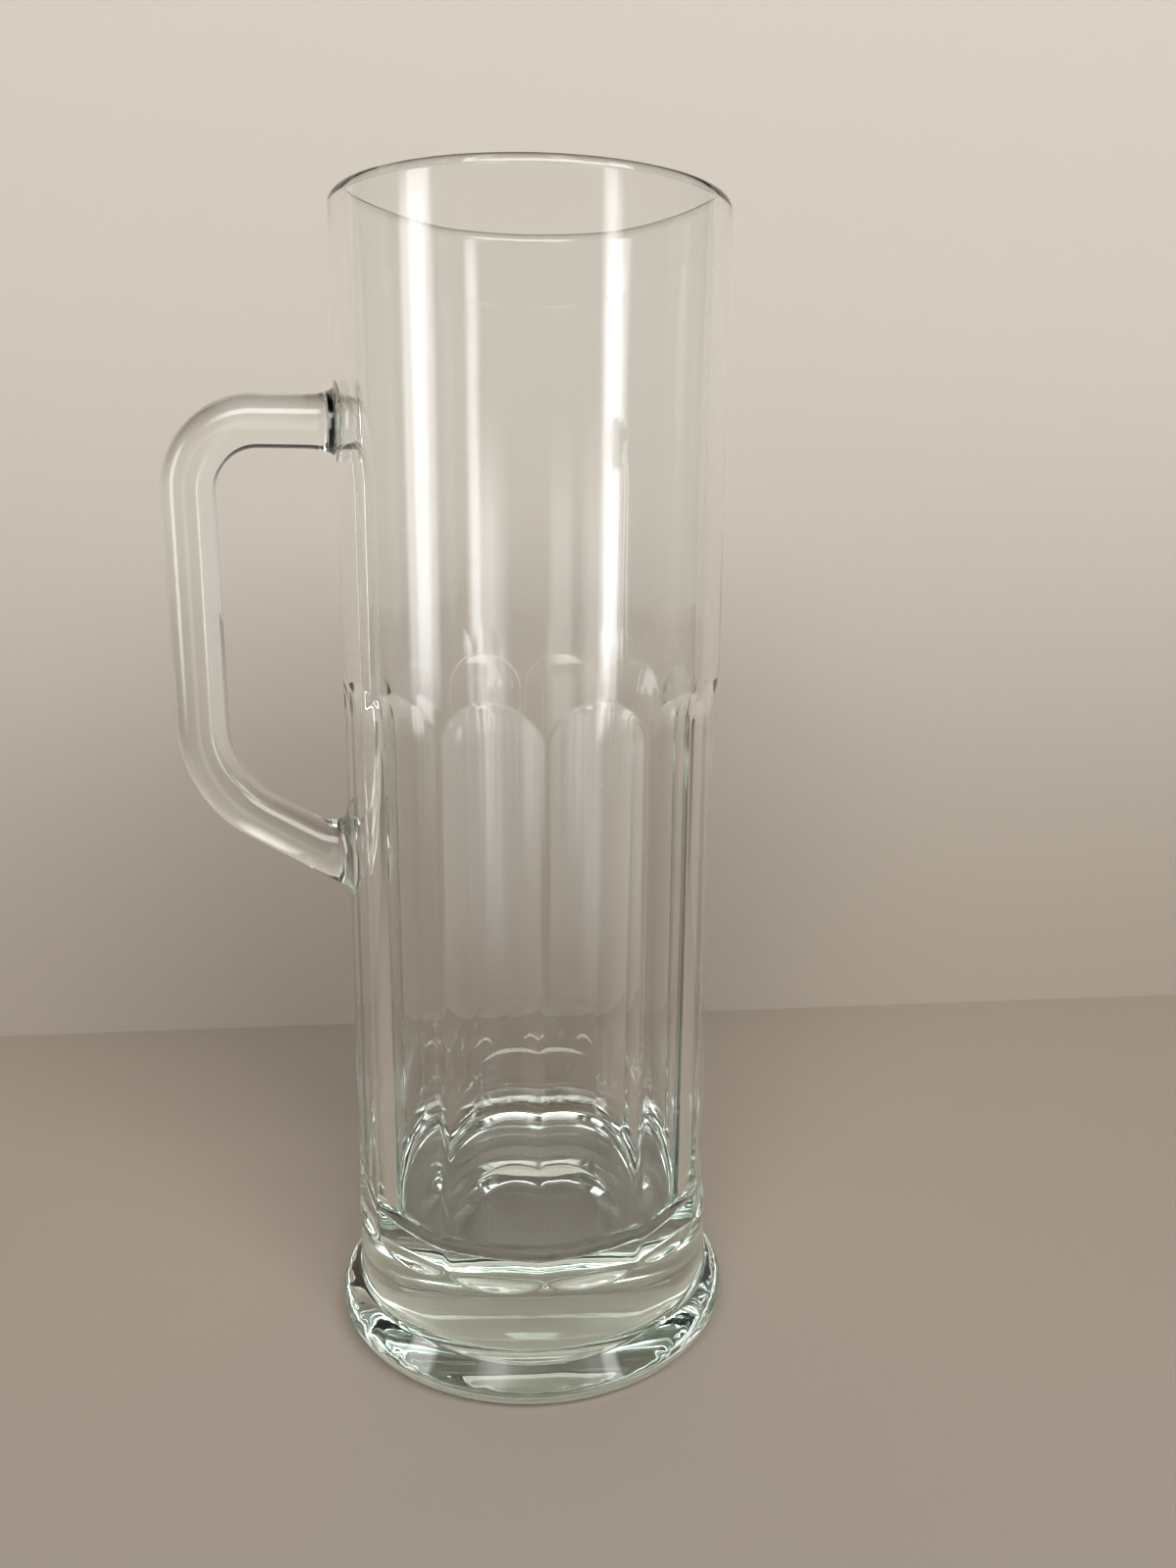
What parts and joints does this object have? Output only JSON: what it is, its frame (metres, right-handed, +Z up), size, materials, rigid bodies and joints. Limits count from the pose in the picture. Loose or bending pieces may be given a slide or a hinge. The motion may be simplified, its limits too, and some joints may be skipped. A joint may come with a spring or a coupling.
{
  "type": "beer mug",
  "caption": "Tall clear glass beer mug with arched vertical flutes round the barrel, a heavy rounded foot and a bent round rod handle fused to its side.",
  "frame": {"origin": "on the mug's axis, in the plane that the mug stands on, 1.15 mm below the middle of the recessed underside", "axes": "+Z up along the mug's axis, -X towards the handle, +Y completes the right-handed frame"},
  "size_m": [0.1054, 0.0788, 0.213],
  "materials": {
    "clear_glass": "clear fire-polished pressed glass"
  },
  "bodies": {
    "root": {"glass_body": "clear_glass", "handle": "clear_glass"}
  },
  "joints": []
}
